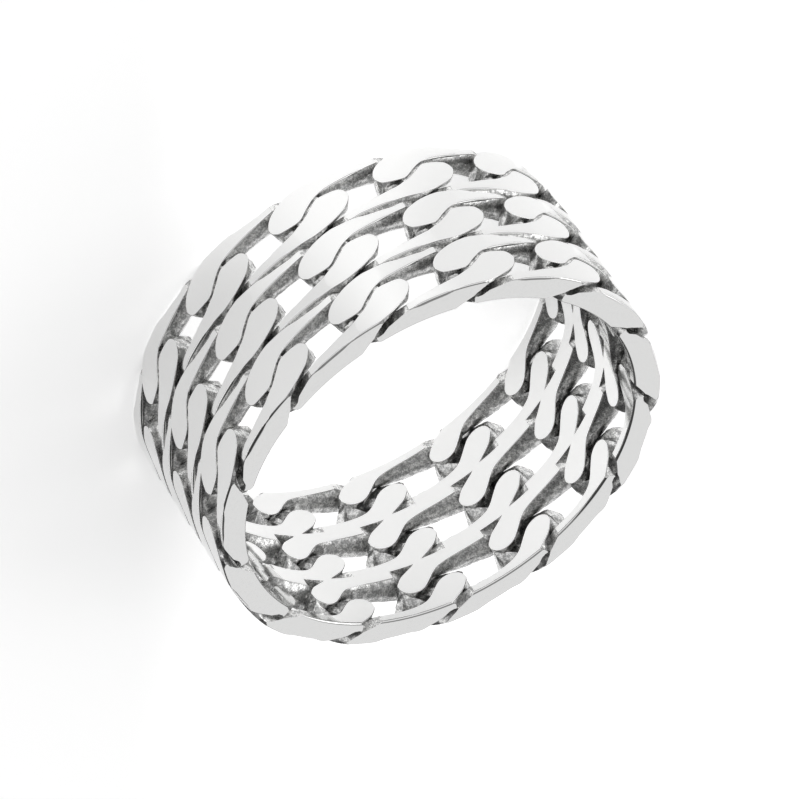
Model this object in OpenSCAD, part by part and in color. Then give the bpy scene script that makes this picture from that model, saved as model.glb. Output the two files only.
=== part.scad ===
// A finger ring: three rows of curb chain, bent round and soldered into one band, then ground
// smooth on its outer face, its finger face and both rims. It lies on its side, on the far rim.
// Origin: the middle of the far rim. Z: the ring's axis. Seen from outside, "along" runs round
// the ring, anticlockwise from above, and "across" runs up along the axis.

/* [Band] */
// Radius of the finger hole, mm
finger_radius = 8.75; // [7.5:0.05:10.5]
// Thickness of the wall between the ground faces, mm
wall = 1.20; // [1.1:0.05:1.3]
// Links in each row, evenly spaced round the finger
links = 13; // [12:1:14]
// Rows of links side by side
rows = 3; // [1:1:4]
// Distance from one row's middle to the next, mm
row_pitch = 2.75; // [2.7:0.05:2.8]
// Width of a row at the outer face, mm
row_width = 2.66; // [2.6:0.02:2.7]
// Bearing of the first link's middle, degrees
first_link = 21.3; // [0:0.1:27.6]

/* [Finish] */
// Bevel on the outer edge of each rim, mm
outer_bevel = 0.12; // [0.02:0.02:0.3]
// Bevel on the finger edge of each rim, mm
finger_bevel = 0.06; // [0.02:0.02:0.2]
// Overlap that solders each row to the next at the finger face, mm
solder = 0.12; // [0.06:0.02:0.16]

/* [Hidden] */
silver = [0.86, 0.87, 0.88];
outer_radius = finger_radius + wall;
band_height = (rows - 1) * row_pitch + row_width;
// Half a row's width, at the outer face and where the rows are soldered
edge = row_width / 2;
joint = (row_pitch + solder) / 2;
// Metal left for grinding, above and under the wall
spare = 0.05;
// Solder bar between two lobes: its middle under the outer face, its size and its slope
bar_depth = 0.40;
bar_thickness = 0.60;
bar_length = 1.50;
bar_width = 0.45;
bar_slope = 33;
full_round = 208;

// The link is drawn with its along values in mm of the outer face, at this distance from link
// to link. It is stretched to the ring's own pitch.
drawn_pitch = 4.81;

// The back of a rail, where it doesn't reach the face: along, across, and how far short of the
// face it stays. It is a ridge under the outer lobe and over the finger lobe, and opens towards
// the row's edge, where the three high points make the rim's flats nearly meet.
heel = [-3.92, 0.00, 0.05];
arch = [-3.25, 0.28, 0.30];
toe = [-2.35, 0.80, 0.70];
toe_high = [-1.75, joint, 0.50];
nape = [2.35, 0.72, 0.70];
nape_high = [2.25, joint, 0.50];
nape_end = [2.85, joint, 0.80];
neck = [3.20, 0.42, 0.30];
head = [3.86, 0.12, 0.05];

// Half of a curb link, from its outer lobe along the row's edge to its finger lobe, a row for
// each section: outer face's low side, its high side, finger face's low side, its high side.
LOW_OUTER = 0;
HIGH_OUTER = 1;
LOW_FINGER = 2;
HIGH_FINGER = 3;
sections = [
    [[-4.17, 0.05], [-4.13, 0.30], heel, heel],
    [[-4.02, -0.20], [-4.00, 0.52], heel, heel],
    [[-3.75, -0.30], [-3.75, 0.76], heel, heel],
    [[-2.95, -0.30], [-3.30, 1.00], arch, arch],
    [[-2.42, 0.06], [-2.75, 1.20], toe, toe],
    [[-1.93, 0.38], [-2.10, edge], toe, toe_high],
    [[-1.40, 0.54], [-1.60, edge], [-0.90, 0.94], [-0.90, joint]],
    [[0.00, 0.78], [0.00, edge], [0.60, 0.91], [0.60, joint]],
    [[1.19, 1.00], [1.19, edge], [1.50, 0.80], [1.60, joint]],
    [nape, nape_high, [1.95, 0.60], [2.40, joint - 0.02]],
    [nape, nape_end, [2.38, 0.25], [2.78, 1.26]],
    [neck, neck, [2.78, -0.04], [3.20, 1.06]],
    [head, head, [3.20, -0.16], [3.56, 0.87]],
    [head, head, [3.60, -0.12], [3.83, 0.62]],
    [head, head, [3.90, 0.08], [3.98, 0.40]],
];
last = len(sections) - 1;
// A flat's middle from the link's middle, and its far end from its own middle, along
flat_middle = 1.5;
flat_reach = 2.7;

// Bearing of an along value from the link's middle, degrees.
function bearing(along) = along / drawn_pitch * 360 / links;

// A point of the wall at a distance r from the ring's axis.
function spot(p, r) = [r * cos(bearing(p[0])), r * sin(bearing(p[0])), p[1]];

// Where a section's edge ends on the outer side and on the finger side: at the face or short of it.
function short(p) = len(p) == 3 ? p[2] : 0;
function outer_spot(p) = spot(p, outer_radius - short(p));
function finger_spot(p) = spot(p, finger_radius + short(p));

// Where the edge from q through p meets the plane across the radius at an angle and distance.
function run_on(p, q, angle, distance) =
    let (out = [cos(angle), sin(angle), 0])
    q + (p - q) * (distance - q * out) / ((p - q) * out);

// The same ends, with the metal left for grinding where they are at a face.
function outer_end(p, q) =
    short(p) > 0
        ? outer_spot(p)
        : run_on(outer_spot(p), finger_spot(q), bearing(-flat_middle), outer_radius + spare);
function finger_end(p, q) =
    short(q) > 0
        ? finger_spot(q)
        : run_on(
            finger_spot(q), outer_spot(p), bearing(flat_middle),
            finger_radius * cos(bearing(flat_reach)) - spare
        );

module half_link() {
    points = [
        for (s = sections)
            each [
                outer_end(s[LOW_OUTER], s[LOW_FINGER]),
                outer_end(s[HIGH_OUTER], s[HIGH_FINGER]),
                finger_end(s[HIGH_OUTER], s[HIGH_FINGER]),
                finger_end(s[LOW_OUTER], s[LOW_FINGER]),
            ]
    ];
    // Four strips of triangles from section to section, closed at each end.
    strips = [
        for (i = [0 : last - 1], side = [0 : 3])
            let (a = 4 * i + side, b = 4 * i + (side + 1) % 4)
            each [[a, b, b + 4], [a, b + 4, a + 4]]
    ];
    far = 4 * last;
    ends = [[3, 2, 1], [3, 1, 0], [far, far + 1, far + 2], [far, far + 2, far + 3]];
    polyhedron(points, concat(strips, ends));
}

module curb_link() {
    half_link();
    rotate([180, 0, 0])
        half_link();
}

// Solder between the outer lobes of two links, halfway between their middles.
module solder_bar() {
    rotate([0, 0, 180 / links])
        translate([outer_radius - bar_depth, 0, 0])
            rotate([bar_slope, 0, 0])
                cube([bar_thickness, bar_length, bar_width], center = true);
}

module link_rows() {
    for (row = [0 : rows - 1])
        for (k = [0 : links - 1])
            translate([0, 0, row_width / 2 + row * row_pitch])
                rotate([0, 0, first_link + k * 360 / links]) {
                    curb_link();
                    solder_bar();
                }
}

// The space left by grinding: both faces, both rims and the bevels on their edges.
module ground_space() {
    rotate_extrude($fn = full_round)
        polygon([
            [finger_radius, finger_bevel],
            [finger_radius + finger_bevel, 0],
            [outer_radius - outer_bevel, 0],
            [outer_radius, outer_bevel],
            [outer_radius, band_height - outer_bevel],
            [outer_radius - outer_bevel, band_height],
            [finger_radius + finger_bevel, band_height],
            [finger_radius, band_height - finger_bevel],
        ]);
}

module curb_band() {
    color(silver)
        intersection() {
            link_rows();
            ground_space();
        }
}

curb_band();
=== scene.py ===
"""The looks of a finger ring of soldered curb chain, lying on its side on a pale floor.

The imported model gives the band's radii and its height. The band is rebuilt here with rounded
lobes, bevelled flats and rough walls, in millimetres, and is scaled to metres at the end.
Along runs round the ring and across runs up its axis, both in mm of the outer face.
"""
import math

import bmesh
import bpy
import numpy as np
from mathutils import Matrix, Quaternion, Vector


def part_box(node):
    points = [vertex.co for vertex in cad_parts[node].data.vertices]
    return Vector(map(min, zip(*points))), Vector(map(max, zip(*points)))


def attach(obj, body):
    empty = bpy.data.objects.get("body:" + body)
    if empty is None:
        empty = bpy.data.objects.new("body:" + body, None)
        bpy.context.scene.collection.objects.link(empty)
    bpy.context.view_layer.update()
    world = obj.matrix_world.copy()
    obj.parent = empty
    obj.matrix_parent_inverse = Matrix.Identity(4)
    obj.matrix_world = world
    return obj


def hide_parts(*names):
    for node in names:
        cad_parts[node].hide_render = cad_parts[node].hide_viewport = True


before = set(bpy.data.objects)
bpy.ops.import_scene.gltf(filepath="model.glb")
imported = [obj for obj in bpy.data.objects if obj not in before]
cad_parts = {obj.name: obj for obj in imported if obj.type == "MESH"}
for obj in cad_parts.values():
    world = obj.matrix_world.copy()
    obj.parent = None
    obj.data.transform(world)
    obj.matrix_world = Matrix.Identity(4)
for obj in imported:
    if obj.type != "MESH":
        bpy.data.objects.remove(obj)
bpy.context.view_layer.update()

MM = 0.001


def cad_radii(name):
    """Least and greatest distance of a CAD node's points from the ring's axis, in mm."""
    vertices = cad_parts[name].data.vertices
    points = np.zeros(len(vertices) * 3)
    vertices.foreach_get("co", points)
    radii = np.linalg.norm(points.reshape(-1, 3)[:, :2], axis=1) / MM
    return float(radii.min()), float(radii.max())


# The band, mm and degrees
band_low, band_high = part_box("curb_band")
FINGER_R, OUTER_R = cad_radii("curb_band")
HEIGHT = (band_high[2] - band_low[2]) / MM
LINKS = 13
ROWS = 3
ROW_PITCH = 2.75
ROW_WIDTH = HEIGHT - (ROWS - 1) * ROW_PITCH
FIRST_LINK = 21.3
SOLDER = 0.12
EDGE = ROW_WIDTH / 2
JOINT = (ROW_PITCH + SOLDER) / 2
DRAWN_PITCH = 4.81

# Solder bar between two outer lobes: depth of its middle, its size, and its slope in degrees
BAR_DEPTH = 0.40
BAR_SIZE = (0.60, 1.50, 0.45)
BAR_SLOPE = 33

# Bevels, mm. The outer flat's are wider along its tail: section and width, on the low side and on
# the high side. Where a flat is narrow, a bevel is at most a share of its width and a bit more.
BEVEL = 0.035
LOW_BEVEL = [(6.3, 0.035), (6.7, 0.11), (7.5, 0.11), (7.9, 0.035)]
HIGH_BEVEL = [(6.9, 0.035), (7.2, 0.13), (8.0, 0.13), (8.3, 0.035)]
NARROW_SHARE = 0.35
NARROW_BEVEL = 0.4 * BEVEL

# Walls and rims, mm. The spare metal lies past the ground faces and is cut off.
WALL_BULGE = 0.17
WALL_NOISE = 0.012
RIM_ROUND = 0.09
FINGER_RIM_ROUND = 0.10
SPARE = 0.05
SEED = 13

# How finely the mesh is divided: steps of each rounded rim edge, steps round the band, mm from
# station to station, and steps across a flat and down a wall
ROUND_STEPS = 5
BAND_STEPS = 260
STATION_STEP = 0.18
ACROSS = 4
DOWN = 4

# Points this near each other are merged, in each piece and in the whole band, mm. Edges bent by
# more than the angle in degrees stay sharp, and a shorter carried normal than the least is none.
PIECE_MERGE = 1e-5
BAND_MERGE = 1e-4
SHARP_ANGLE = 32
LEAST_NORMAL = 0.2

# The outer flat's tail: where its crease is at its sides and how far it bows towards the tail in
# the middle, mm, how far its low end is shifted towards the tip and its high end away from it, in
# sections, then how much the tail slopes and how far polishing leans its mirror image, in degrees
CREASE = -1.48
CREASE_BOW = 0.13
CREASE_SHIFT = (0.15, 0.08)
TAIL_TILT = 3.0
TAIL_LEAN = 10.0

# The back of a rail: along, across, and how far short of the face it stays. It is a ridge, and
# near the rim it opens into a low and a high side.
HEEL = (-3.92, 0.00, 0.05)
ARCH = (-3.25, 0.28, 0.30)
TOE = (-2.35, 0.80, 0.70)
TOE_HIGH = (-1.75, JOINT, 0.50)
NAPE = (2.35, 0.72, 0.70)
NAPE_HIGH = (2.25, JOINT, 0.50)
NAPE_END = (2.85, JOINT, 0.80)
NECK = (3.20, 0.42, 0.30)
HEAD = (3.86, 0.12, 0.05)

# Outline of the outer flat from the lobe's tip on, then of the finger flat from its own tip:
# along and across of the low side, and of the high side.
OUTER_FLAT = [
    ((-4.17, 0.05), (-4.13, 0.30)),
    ((-4.02, -0.20), (-4.00, 0.52)),
    ((-3.75, -0.30), (-3.75, 0.76)),
    ((-2.95, -0.30), (-3.30, 1.00)),
    ((-2.42, 0.06), (-2.75, 1.20)),
    ((-1.93, 0.38), (-2.10, EDGE)),
    ((-1.40, 0.54), (-1.60, EDGE)),
    ((0.00, 0.78), (0.00, EDGE)),
    ((1.19, 1.00), (1.19, EDGE)),
]
FINGER_FLAT = [
    ((3.90, 0.08), (3.98, 0.40)),
    ((3.60, -0.12), (3.83, 0.62)),
    ((3.20, -0.16), (3.56, 0.87)),
    ((2.78, -0.04), (3.20, 1.06)),
    ((2.38, 0.25), (2.78, 1.26)),
    ((1.95, 0.60), (2.40, JOINT - 0.02)),
    ((1.50, 0.80), (1.60, JOINT)),
    ((0.60, 0.91), (0.60, JOINT)),
    ((-0.90, 0.94), (-0.90, JOINT)),
]
# The backs that face them, the low and the high side for each section from the rail's end.
FINGER_BACK = [(HEEL, HEEL)] * 3 + [(ARCH, ARCH), (TOE, TOE), (TOE, TOE_HIGH)]
OUTER_BACK = [(HEAD, HEAD)] * 3 + [(NECK, NECK), (NAPE, NAPE_END), (NAPE, NAPE_HIGH)]
SECTIONS = 15
# From a flat's tip: the section where it leaves its face, the outer flat's crease and the short
# way past it in which the tail starts to slope, and where the finger flat meets the next row.
# Sections that differ by less than the last value are the same.
LAST_ON_FACE = 8.5
CREASE_SECTION = 6.5
PAST_CREASE = 0.01
JOINT_SECTION = 5.5
SAME_SECTION = 1e-6

# Material slots, and the attribute that carries the normals of the polished surfaces while the
# mesh is built, as radial, along and across
POLISHED, CAST = range(2)
NORMAL = "ring_normal"

# Camera: place and target in metres, roll in degrees, lens in mm
CAMERA_PLACE = (0.29059, -0.25399, 0.30176)
CAMERA_TARGET = (-0.00010, 0.00006, 0.00423)
CAMERA_ROLL = 146.154
CAMERA_LENS = 540

# The studio: its strength, its tone at the horizon, and the z of a unit direction from which on it
# has its full tone
STUDIO_STRENGTH = 0.953
HORIZON = (0.20, 0.20, 0.205, 1)
HORIZON_TOP = 0.25
# Dimmer parts of the studio, an opening in its ceiling and one side: azimuth, elevation and radius
# in degrees, and how much light they still give. Their edges are soft by so many degrees.
CEILING_OPENING = (110, 82, 41, 0.30)
DARK_SIDE = (62, 20, 52, 0.10)
SOFT_EDGE = 3
# The key light: azimuth and elevation in degrees, distance and size in metres, and radiance
KEY_LIGHT = (-150, 38, 0.8, 0.35, 1.5)
LIGHT_TARGET = (0, 0, 0.004)
# The paper's radius, its glow, and the two sides on which the glow falls off, a painted shade near
# the ring that the polished flats also mirror: azimuth in degrees, how much it loses, and between
# which distances from the ring's axis it does so, in metres
FLOOR_RADIUS = 2.5
FLOOR_GLOW = 0.82
FLOOR_PAINTED_SHADES = [(25, 0.31, 0.002, 0.010), (-140, 0.22, 0.002, 0.009)]


def smooth_curve(points, u):
    """Catmull-Rom curve through the points, at the parameters u, where a whole number is a point."""
    points = np.asarray(points, float)
    u = np.clip(np.asarray(u, float), 0, len(points) - 1)
    i = np.minimum(u.astype(int), len(points) - 2)
    f = (u - i)[:, None]
    before = points[np.maximum(i - 1, 0)]
    start = points[i]
    end = points[i + 1]
    after = points[np.minimum(i + 2, len(points) - 1)]
    return 0.5 * (
        2 * start
        + (end - before) * f
        + (2 * before - 5 * start + 4 * end - after) * f ** 2
        + (3 * start - before - 3 * end + after) * f ** 3
    )


def flat_sides(flat, q_low, q_high):
    """Low and high side of a flat at so many sections from its tip, with their inward normals."""
    low = [pair[0] for pair in flat][::-1]
    high = [pair[1] for pair in flat]
    line = np.array(low + high)
    tip = len(flat) - 0.5
    small = 1e-3
    never_zero = 1e-12
    turn = np.sign(line[:, 0].mean() - line[len(flat), 0])
    sides = []
    for u in (tip - q_low, tip + q_high):
        point = smooth_curve(line, u)
        run = smooth_curve(line, u + small) - smooth_curve(line, u - small)
        run /= np.linalg.norm(run, axis=1)[:, None] + never_zero
        sides.append((point, turn * np.c_[run[:, 1], -run[:, 0]]))
    return sides


def span(flat, start, end):
    """The longer of a flat's two sides between two sections, or 0 beyond the flat."""
    if max(start, end) > len(flat) - 0.5:
        return 0.0
    q = np.array([start, end])
    return max(float(np.linalg.norm(side[0][0] - side[0][1])) for side in flat_sides(flat, q, q))


def stations():
    """Sections of the rail, from the outer lobe's tip at 0 to the finger lobe's tip at 15."""
    found = [0.0]
    ends = [0.0] + [i + 0.5 for i in range(SECTIONS)] + [float(SECTIONS)]
    for start, end in zip(ends[:-1], ends[1:]):
        length = max(span(OUTER_FLAT, start, end), span(FINGER_FLAT, SECTIONS - start, SECTIONS - end))
        found += list(np.linspace(start, end, max(1, round(length / STATION_STEP)) + 1)[1:])
    return np.array(found)


def face_edges(flat, back, q_low, q_high, bevels):
    """The two sides of a flat at so many sections from its tip: the corner on the face, the one
    under its bevel, and the outward normal of the wall there."""
    q = (q_low + q_high) / 2
    fade = np.clip(q - LAST_ON_FACE, 0, 1)[:, None]
    low, high = flat_sides(flat, np.minimum(q_low, LAST_ON_FACE), np.minimum(q_high, LAST_ON_FACE))
    gap = np.linalg.norm(high[0] - low[0], axis=1)
    corners = []
    for side, ((point, inward), bevel) in enumerate(zip((low, high), bevels)):
        line = np.array([pair[side] for pair in back[::-1]], float)
        ridge = smooth_curve(line, np.clip(q - LAST_ON_FACE - 1, 0, None))
        cut = np.minimum(bevel, NARROW_SHARE * gap + NARROW_BEVEL)[:, None] * (1 - fade)
        top = np.c_[(point + inward * cut) * (1 - fade) + ridge[:, :2] * fade, ridge[:, 2:] * fade]
        under = np.c_[point * (1 - fade) + ridge[:, :2] * fade, ridge[:, 2:] * fade + cut]
        outward = np.c_[np.zeros(len(q)), -inward]
        corners.append((top, under, outward))
    return corners


def raised(edges, face, sign):
    """Turns how far the corners stay short of a face into their distance from the ring's axis."""
    for top, under, outward in edges:
        for points in (top, under):
            points[:, 2] = face + sign * points[:, 2]


def slope_tail(edges, q):
    """Lowers the outer flat's corners from its crease on."""
    bounds = [CREASE_SECTION, CREASE_SECTION + PAST_CREASE, LAST_ON_FACE, LAST_ON_FACE + 1]
    on_tail = np.interp(q, bounds, [0, 1, 1, 0])
    slope = math.tan(math.radians(TAIL_TILT))
    for top, under, outward in edges:
        for points in (top, under):
            points[:, 2] -= on_tail * np.clip(points[:, 0] - CREASE, 0, None) * slope


def across_flat(start, end, bow):
    """Rings of points across a flat, bowed along in the middle."""
    lines = []
    for k in range(ACROSS + 1):
        t = k / ACROSS
        line = start + (end - start) * t
        line[:, 0] += bow * 4 * t * (1 - t)
        lines.append(line)
    return lines


def down_wall(start, end, side, rng):
    """Rings of points down a slightly rough wall that bulges away from the rail's middle."""
    lines = []
    for k in range(1, DOWN):
        t = k / DOWN
        line = start + (end - start) * t
        line[:, 1] += side * WALL_BULGE * math.sin(math.pi * t)
        line[:, :2] += rng.normal(0, WALL_NOISE, (len(line), 2))
        lines.append(line)
    return lines


def strip_normals(outer_edges, finger_edges, q):
    """Normals as radial, along and across, for both rings of each strip. A wall is given none."""
    outer_low, outer_high = [edge[2] for edge in outer_edges]
    finger_low, finger_high = [edge[2] for edge in finger_edges]
    outer_face = np.zeros((len(q), 3)) + (1, 0, 0)
    finger_face = -outer_face
    outer_face[q > CREASE_SECTION - SAME_SECTION] = (1, math.tan(math.radians(TAIL_LEAN)), 0)
    no_normal = np.zeros((len(q), 3))
    normals = [(outer_face, outer_face)] * ACROSS + [(outer_face, outer_high)]
    normals += [(no_normal, no_normal)] * DOWN + [(finger_high, finger_face)]
    normals += [(finger_face, finger_face)] * ACROSS + [(finger_face, finger_low)]
    normals += [(no_normal, no_normal)] * DOWN + [(outer_low, outer_face)]
    return normals


def rail_rings(rng):
    """Closed rings of points round the rail, each with a point for every station, and the slot
    and the normals of the strip from each ring to the next."""
    q = stations()
    near_crease = np.clip(1 - abs(q - CREASE_SECTION), 0, None)
    low_shift, high_shift = CREASE_SHIFT
    even = np.full(len(q), BEVEL)
    fused = np.interp(SECTIONS - q, [JOINT_SECTION - 1, JOINT_SECTION], [BEVEL, 0.0])
    wider = [np.interp(q, *zip(*bevel)) for bevel in (LOW_BEVEL, HIGH_BEVEL)]
    outer_edges = face_edges(
        OUTER_FLAT, OUTER_BACK, q - low_shift * near_crease, q + high_shift * near_crease, wider
    )
    finger_edges = face_edges(FINGER_FLAT, FINGER_BACK, SECTIONS - q, SECTIONS - q, (even, fused))
    raised(outer_edges, OUTER_R, -1)
    raised(finger_edges, FINGER_R, 1)
    slope_tail(outer_edges, q)
    outer_low, outer_high = outer_edges
    finger_low, finger_high = finger_edges
    rings = across_flat(outer_low[0], outer_high[0], CREASE_BOW * near_crease)
    rings.append(outer_high[1])
    rings += down_wall(outer_high[1], finger_high[1], 1, rng)
    rings.append(finger_high[1])
    rings += across_flat(finger_high[0], finger_low[0], 0)
    rings.append(finger_low[1])
    rings += down_wall(finger_low[1], outer_low[1], -1, rng)
    rings.append(outer_low[1])
    slots = ([POLISHED] * (ACROSS + 1) + [CAST] * DOWN + [POLISHED]) * 2
    points = np.array(rings)
    # At each tip, the two walls meet in one line
    for end in (0, -1):
        for k in range(1, DOWN):
            pair = [ACROSS + 1 + k, len(rings) - 1 - k]
            points[pair, end] = points[pair, end].mean(axis=0)
    return points, slots, strip_normals(outer_edges, finger_edges, q), q


def on_band(points):
    """Points given as along, across and radius, as x, y and z in mm."""
    angle = points[..., 0] / DRAWN_PITCH * 2 * math.pi / LINKS
    radius = points[..., 2]
    return np.stack([radius * np.cos(angle), radius * np.sin(angle), points[..., 1]], axis=-1)


def cleaned(mesh, distance):
    """The mesh with points that coincide merged, empty faces removed and normals outward."""
    work = bmesh.new()
    work.from_mesh(mesh)
    bmesh.ops.remove_doubles(work, verts=work.verts, dist=distance)
    bmesh.ops.dissolve_degenerate(work, edges=work.edges, dist=distance)
    bmesh.ops.triangulate(work, faces=work.faces)
    bmesh.ops.recalc_face_normals(work, faces=work.faces)
    work.to_mesh(mesh)
    work.free()
    return mesh


def closed_mesh(name, points, faces, slots, normals):
    """A closed mesh with a material slot for each face and a normal for each of its corners."""
    mesh = bpy.data.meshes.new(name)
    mesh.from_pydata([tuple(p) for p in points], [], faces)
    mesh.polygons.foreach_set("material_index", slots)
    carried = mesh.attributes.new(NORMAL, "FLOAT_VECTOR", "CORNER")
    carried.data.foreach_set("vector", np.array(normals, float).ravel())
    return cleaned(mesh, PIECE_MERGE)


def make_rail(rng):
    """Half of a curb link, from its outer lobe to its finger lobe."""
    points, side_slots, side_normals, q = rail_rings(rng)
    around, along = points.shape[:2]
    faces = []
    slots = []
    normals = []
    for side in range(around):
        following = (side + 1) % around
        first, second = side_normals[side]
        for station in range(along - 1):
            a = side * along + station
            b = following * along + station
            faces.append((a, b, b + 1, a + 1))
            slot = side_slots[side]
            corners = [first[station], second[station], second[station + 1], first[station + 1]]
            is_outer = side <= ACROSS or side == around - 1
            from_tip = q[station] if is_outer else SECTIONS - q[station + 1]
            if from_tip > LAST_ON_FACE - SAME_SECTION:
                slot = CAST
                corners = [(0, 0, 0)] * 4
            elif is_outer and from_tip < CREASE_SECTION - SAME_SECTION <= q[station + 1]:
                corners = [first[station], second[station], second[station], first[station]]
            slots.append(slot)
            normals += [tuple(corner) for corner in corners]
    return closed_mesh("rail", on_band(points).reshape(-1, 3), faces, slots, normals)


def make_bar():
    """Solder bar between the outer lobes of two links, halfway between their middles."""
    work = bmesh.new()
    bmesh.ops.create_cube(work, size=1.0)
    mesh = bpy.data.meshes.new("bar")
    work.to_mesh(mesh)
    work.free()
    mesh.transform(
        Matrix.Rotation(math.pi / LINKS, 4, "Z")
        @ Matrix.Translation((OUTER_R - BAR_DEPTH, 0, 0))
        @ Matrix.Rotation(math.radians(BAR_SLOPE), 4, "X")
        @ Matrix.Diagonal((*BAR_SIZE, 1))
    )
    mesh.polygons.foreach_set("material_index", [CAST] * len(mesh.polygons))
    mesh.attributes.new(NORMAL, "FLOAT_VECTOR", "CORNER")
    return mesh


def rim_profile():
    """Section of the ground tube's lower half, from the finger side out: points and normals."""
    inner = FINGER_R - SPARE
    outer = OUTER_R + SPARE
    profile = [((inner, HEIGHT / 2), (0, 0)), ((inner, FINGER_RIM_ROUND), (0, 0))]
    for centre_r, radius, first, last in (
        (FINGER_R + FINGER_RIM_ROUND, FINGER_RIM_ROUND, 180, 270),
        (OUTER_R - RIM_ROUND, RIM_ROUND, 270, 360),
    ):
        for k in range(ROUND_STEPS + 1):
            angle = math.radians(first + (last - first) * k / ROUND_STEPS)
            normal = (math.cos(angle), math.sin(angle))
            profile.append(((centre_r + radius * normal[0], radius + radius * normal[1]), normal))
    profile += [((outer, RIM_ROUND), (0, 0)), ((outer, HEIGHT / 2), (0, 0))]
    return profile


def make_tube():
    """The space that grinding the rims leaves, with a round edge on both sides of each rim."""
    lower = rim_profile()
    upper = [((r, HEIGHT - z), (out, -up)) for (r, z), (out, up) in lower[::-1]]
    section = lower[:-1] + upper[:-1]
    count = len(section)
    points = []
    for step in range(BAND_STEPS):
        angle = step * 2 * math.pi / BAND_STEPS
        points += [(r * math.cos(angle), r * math.sin(angle), z) for (r, z), normal in section]
    faces = []
    normals = []
    for step in range(BAND_STEPS):
        following = (step + 1) % BAND_STEPS
        for k in range(count):
            n = (k + 1) % count
            faces.append(
                (step * count + k, step * count + n, following * count + n, following * count + k)
            )
            for corner in (k, n, n, k):
                out, up = section[corner][1]
                normals.append((out, 0, up))
    return closed_mesh("tube", points, faces, [POLISHED] * len(faces), normals)


def corner_normals(mesh):
    """The carried normals, as radial, along and across, for each corner of the mesh."""
    values = np.zeros(len(mesh.loops) * 3)
    mesh.attributes[NORMAL].data.foreach_get("vector", values)
    return values.reshape(-1, 3)


def linked(name, data):
    """A new object in the scene, with the given mesh, light or camera."""
    thing = bpy.data.objects.new(name, data)
    bpy.context.scene.collection.objects.link(thing)
    return thing


def placed(mesh, turn=0.0, rise=0.0, flip=False):
    """An object with its own copy of a mesh, turned and raised, its place in its points."""
    copy = mesh.copy()
    move = Matrix.Translation((0, 0, rise)) @ Matrix.Rotation(math.radians(turn), 4, "Z")
    if flip:
        move = move @ Matrix.Rotation(math.pi, 4, "X")
        flipped = corner_normals(copy) * (1, -1, -1)
        copy.attributes[NORMAL].data.foreach_set("vector", flipped.ravel())
    copy.transform(move)
    return linked("work", copy)


def combined(thing, other, operation):
    """The first object's mesh after a Boolean with the second. Both objects are removed."""
    modifier = thing.modifiers.new("join", "BOOLEAN")
    modifier.operation = operation
    modifier.solver = "MANIFOLD"
    modifier.object = other
    evaluated = thing.evaluated_get(bpy.context.evaluated_depsgraph_get())
    mesh = bpy.data.meshes.new_from_object(evaluated)
    for spent in (other, thing):
        bpy.data.objects.remove(spent)
    return mesh


def repeated(mesh, count, turn, rise):
    """The mesh and count - 1 turned or raised copies of it, fused by doubling."""
    if count == 1:
        return mesh
    half = count // 2
    part = repeated(mesh, half, turn, rise)
    whole = combined(placed(part), placed(part, turn * half, rise * half), "UNION")
    if count % 2:
        extra = placed(mesh, turn * (count - 1), rise * (count - 1))
        whole = combined(placed(whole), extra, "UNION")
    return whole


def make_band():
    """The whole band: links with their solder bars, in rows, ground on both rims, in mm."""
    rail = make_rail(np.random.default_rng(SEED))
    link = combined(placed(rail), placed(rail, flip=True), "UNION")
    link = combined(placed(link), placed(make_bar()), "UNION")
    row = repeated(link, LINKS, 360 / LINKS, 0)
    rows = repeated(row, ROWS, 0, ROW_PITCH)
    return combined(placed(rows, FIRST_LINK, ROW_WIDTH / 2), placed(make_tube()), "INTERSECT")


def set_normals(mesh):
    """Turns the carried normals into the mesh's own. Walls keep their automatic ones."""
    carried = corner_normals(mesh)
    vertex = np.zeros(len(mesh.loops), int)
    mesh.loops.foreach_get("vertex_index", vertex)
    points = np.zeros(len(mesh.vertices) * 3)
    mesh.vertices.foreach_get("co", points)
    flat_points = points.reshape(-1, 3)[vertex, :2]
    out = flat_points / np.linalg.norm(flat_points, axis=1)[:, None]
    radial, along, across = carried.T[:, :, None]
    turned = np.c_[radial * out + along * np.c_[-out[:, 1], out[:, 0]], across]
    lengths = np.linalg.norm(turned, axis=1)[:, None]
    normals = np.divide(turned, lengths, out=np.zeros_like(turned), where=lengths > LEAST_NORMAL)
    mesh.attributes.remove(mesh.attributes[NORMAL])
    mesh.normals_split_custom_set(normals)


def heading(azimuth, elevation):
    """Unit vector towards an azimuth and an elevation in degrees."""
    a = math.radians(azimuth)
    e = math.radians(elevation)
    return math.cos(a) * math.cos(e), math.sin(a) * math.cos(e), math.sin(e)


def node(owner, kind, **values):
    """A node of a material or a world, with its inputs or properties set by name."""
    made = owner.node_tree.nodes.new(kind)
    for name, value in values.items():
        label = name.replace("_", " ").title()
        if label in made.inputs:
            made.inputs[label].default_value = value
        else:
            setattr(made, name, value)
    return made


def mapped(owner, source, low, high, start, end, shape="LINEAR"):
    """A value that goes from low to high as the source goes from start to end."""
    remap = node(owner, "ShaderNodeMapRange", interpolation_type=shape)
    remap.inputs["From Min"].default_value = start
    remap.inputs["From Max"].default_value = end
    remap.inputs["To Min"].default_value = low
    remap.inputs["To Max"].default_value = high
    owner.node_tree.links.new(source, remap.inputs["Value"])
    return remap.outputs["Result"]


def toned(owner, source, first, last, start, end):
    """A colour that goes from first to last as the source goes from start to end."""
    ramp = node(owner, "ShaderNodeValToRGB")
    ramp.color_ramp.elements[0].position = start
    ramp.color_ramp.elements[0].color = first
    ramp.color_ramp.elements[1].position = end
    ramp.color_ramp.elements[1].color = last
    owner.node_tree.links.new(source, ramp.inputs["Fac"])
    return ramp.outputs["Color"]


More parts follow.
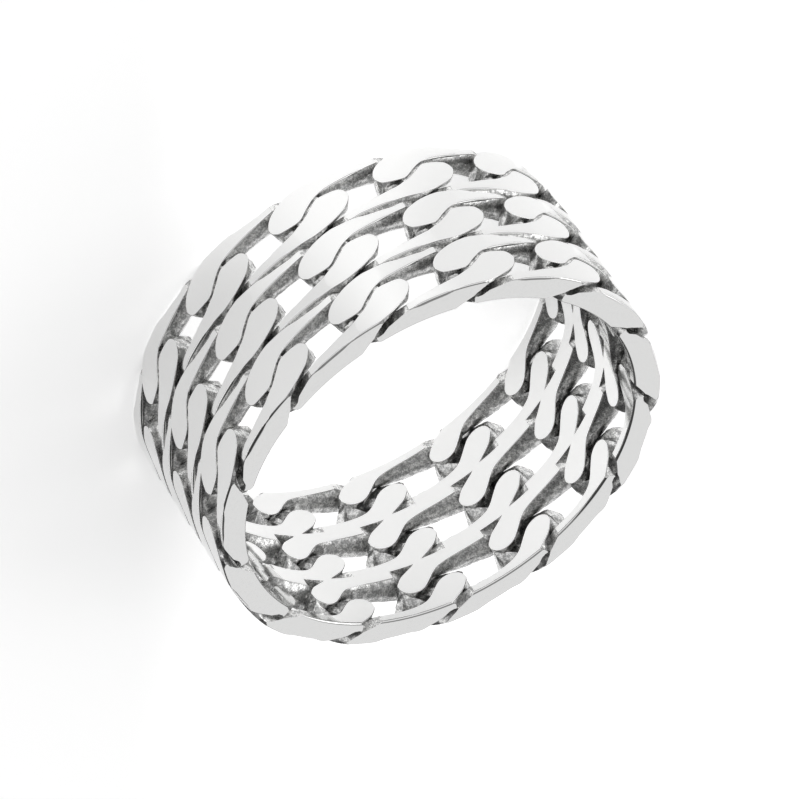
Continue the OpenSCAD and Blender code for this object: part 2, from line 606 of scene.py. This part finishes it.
def towards(owner, source, azimuth, elevation):
    """How far a vector goes towards an azimuth and an elevation."""
    product = node(owner, "ShaderNodeVectorMath", operation="DOT_PRODUCT")
    product.inputs[1].default_value = heading(azimuth, elevation)
    owner.node_tree.links.new(source, product.inputs[0])
    return product.outputs["Value"]


def noise(material, place, scale, detail):
    """The value of a noise texture."""
    texture = node(material, "ShaderNodeTexNoise", scale=scale, detail=detail)
    material.node_tree.links.new(place, texture.inputs["Vector"])
    return texture.outputs["Fac"]


def bumped(material, height, strength, distance, under=None):
    """A normal that follows a height, on top of another normal if one is given."""
    bump = node(material, "ShaderNodeBump", strength=strength, distance=distance)
    material.node_tree.links.new(height, bump.inputs["Height"])
    if under:
        material.node_tree.links.new(under, bump.inputs["Normal"])
    return bump.outputs["Normal"]


def plain_material(name):
    """A new node material, its Principled shader and its object coordinates."""
    material = bpy.data.materials.new(name)
    material.use_nodes = True
    place = node(material, "ShaderNodeTexCoord").outputs["Object"]
    return material, material.node_tree.nodes["Principled BSDF"], place


def polished_silver():
    """Mirror-polished silver with the faint waves and fine wear of hand polishing."""
    material, shader, place = plain_material("polished_silver")
    links = material.node_tree.links
    waves = noise(material, place, scale=500.0, detail=1.0)
    wear = noise(material, place, scale=6000.0, detail=4.0)
    shader.inputs["Base Color"].default_value = (0.74, 0.74, 0.735, 1)
    shader.inputs["Metallic"].default_value = 1.0
    links.new(mapped(material, wear, 0.05, 0.12, 0.35, 0.65), shader.inputs["Roughness"])
    links.new(bumped(material, waves, strength=1.0, distance=0.00001), shader.inputs["Normal"])
    return material


def cast_silver_painted_shade():
    """Unpolished silver in the crevices, grainy. Its darker tone is partly the dull cast metal and
    partly painted crevice shade, darker still in its pits as painted shade and bright on its grains
    as a painted highlight.
    """
    material, shader, place = plain_material("cast_silver_painted_shade")
    links = material.node_tree.links
    grain = noise(material, place, scale=14000.0, detail=2.0)
    lumps = noise(material, place, scale=4000.0, detail=5.0)
    both = node(material, "ShaderNodeMath", operation="ADD")
    links.new(grain, both.inputs[0])
    links.new(lumps, both.inputs[1])
    height = mapped(material, both.outputs["Value"], 0.0, 1.0, 0.5, 1.5)
    # The tone follows the height: dark in the pits, painted shade, and light on the grains, a painted
    # highlight. Its dark end is partly the dull cast metal and partly painted crevice shade.
    tone = toned(material, height, (0.34, 0.34, 0.34, 1), (0.80, 0.80, 0.79, 1), 0.35, 0.65)
    links.new(tone, shader.inputs["Base Color"])
    shader.inputs["Metallic"].default_value = 1.0
    links.new(mapped(material, lumps, 0.38, 0.22, 0.35, 0.65), shader.inputs["Roughness"])
    fine = bumped(material, grain, strength=0.4, distance=0.00002)
    coarse = bumped(material, lumps, strength=0.3, distance=0.00006, under=fine)
    links.new(coarse, shader.inputs["Normal"])
    return material


def floor_material():
    """Matt white paper with a faint tooth. It glows, and a little less on two sides: painted shade."""
    material, shader, place = plain_material("floor_paper_painted_shade")
    links = material.node_tree.links
    shader.inputs["Base Color"].default_value = (0.92, 0.92, 0.92, 1)
    shader.inputs["Emission Color"].default_value = (1, 1, 1, 1)
    shader.inputs["Roughness"].default_value = 0.9
    shader.inputs["Specular IOR Level"].default_value = 0.1
    full = node(material, "ShaderNodeValue")
    full.outputs["Value"].default_value = FLOOR_GLOW
    glow = full.outputs["Value"]
    # Each side takes some glow away near the ring: painted shade, which the polished flats also mirror
    for azimuth, painted_shade_loss, start, end in FLOOR_PAINTED_SHADES:
        along = towards(material, place, azimuth, 0)
        less = node(material, "ShaderNodeMath", operation="SUBTRACT")
        links.new(glow, less.inputs[0])
        links.new(mapped(material, along, 0.0, painted_shade_loss, start, end, "SMOOTHSTEP"), less.inputs[1])
        glow = less.outputs["Value"]
    links.new(glow, shader.inputs["Emission Strength"])
    tooth = noise(material, place, scale=900.0, detail=3.0)
    links.new(bumped(material, tooth, strength=0.05, distance=0.00005), shader.inputs["Normal"])
    return material


def make_floor():
    """A wide disc of paper under the ring."""
    work = bmesh.new()
    bmesh.ops.create_circle(work, cap_ends=True, segments=96, radius=FLOOR_RADIUS)
    mesh = bpy.data.meshes.new("floor")
    work.to_mesh(mesh)
    work.free()
    floor = linked("floor", mesh)
    floor.location.z = band_low[2]
    mesh.materials.append(floor_material())


def aim(thing, place, target, roll=0.0):
    """Puts an object at a place, looking at a target."""
    place = Vector(place)
    turn = (Vector(target) - place).to_track_quat("-Z", "Y")
    thing.rotation_mode = "QUATERNION"
    thing.rotation_quaternion = turn @ Quaternion((0, 0, 1), math.radians(roll))
    thing.location = place


def make_softbox(name, azimuth, elevation, distance, size, radiance):
    """A square area light that looks at the ring, as bright as its radiance says."""
    light = bpy.data.lights.new(name, "AREA")
    light.size = size
    light.energy = radiance * math.pi * size ** 2
    aim(linked(name, light), Vector(heading(azimuth, elevation)) * distance, LIGHT_TARGET)


def make_world():
    """A bright studio with a dim horizon, a dim opening in its ceiling and a dark side."""
    world = bpy.data.worlds.new("studio")
    world.use_nodes = True
    links = world.node_tree.links
    direction = node(world, "ShaderNodeTexCoord").outputs["Generated"]
    split = node(world, "ShaderNodeSeparateXYZ")
    links.new(direction, split.inputs["Vector"])
    colour = toned(world, split.outputs["Z"], HORIZON, (1.0, 1.0, 1.0, 1), 0.0, HORIZON_TOP)
    for azimuth, elevation, radius, left in (CEILING_OPENING, DARK_SIDE):
        facing = towards(world, direction, azimuth, elevation)
        outside = math.cos(math.radians(radius + SOFT_EDGE))
        inside = math.cos(math.radians(radius - SOFT_EDGE))
        light = mapped(world, facing, 1.0, left, outside, inside, "SMOOTHSTEP")
        shaded = node(world, "ShaderNodeVectorMath", operation="SCALE")
        links.new(colour, shaded.inputs[0])
        links.new(light, shaded.inputs["Scale"])
        colour = shaded.outputs["Vector"]
    background = world.node_tree.nodes["Background"]
    links.new(colour, background.inputs["Color"])
    background.inputs["Strength"].default_value = STUDIO_STRENGTH
    bpy.context.scene.world = world


def make_camera():
    """The photograph's view of the ring."""
    data = bpy.data.cameras.new("camera")
    data.lens = CAMERA_LENS
    data.sensor_width = 36
    data.clip_start = 0.01
    data.clip_end = 10
    camera = linked("camera", data)
    aim(camera, CAMERA_PLACE, CAMERA_TARGET, CAMERA_ROLL)
    bpy.context.scene.camera = camera


def make_ring():
    """The finished band in metres, standing for the CAD band."""
    mesh = cleaned(make_band(), BAND_MERGE)
    mesh.polygons.foreach_set("use_smooth", [True] * len(mesh.polygons))
    mesh.set_sharp_from_angle(angle=math.radians(SHARP_ANGLE))
    set_normals(mesh)
    slots = np.zeros(len(mesh.polygons), int)
    mesh.polygons.foreach_get("material_index", slots)
    mesh.materials.clear()
    mesh.materials.append(polished_silver())
    mesh.materials.append(cast_silver_painted_shade())
    mesh.polygons.foreach_set("material_index", slots)
    mesh.transform(Matrix.Scale(MM, 4))
    ring = linked("chain_band", mesh)
    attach(ring, "root")
    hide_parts("curb_band")


make_camera()
make_world()
make_softbox("key", *KEY_LIGHT)
make_floor()
make_ring()
bpy.context.scene.view_settings.view_transform = "Standard"
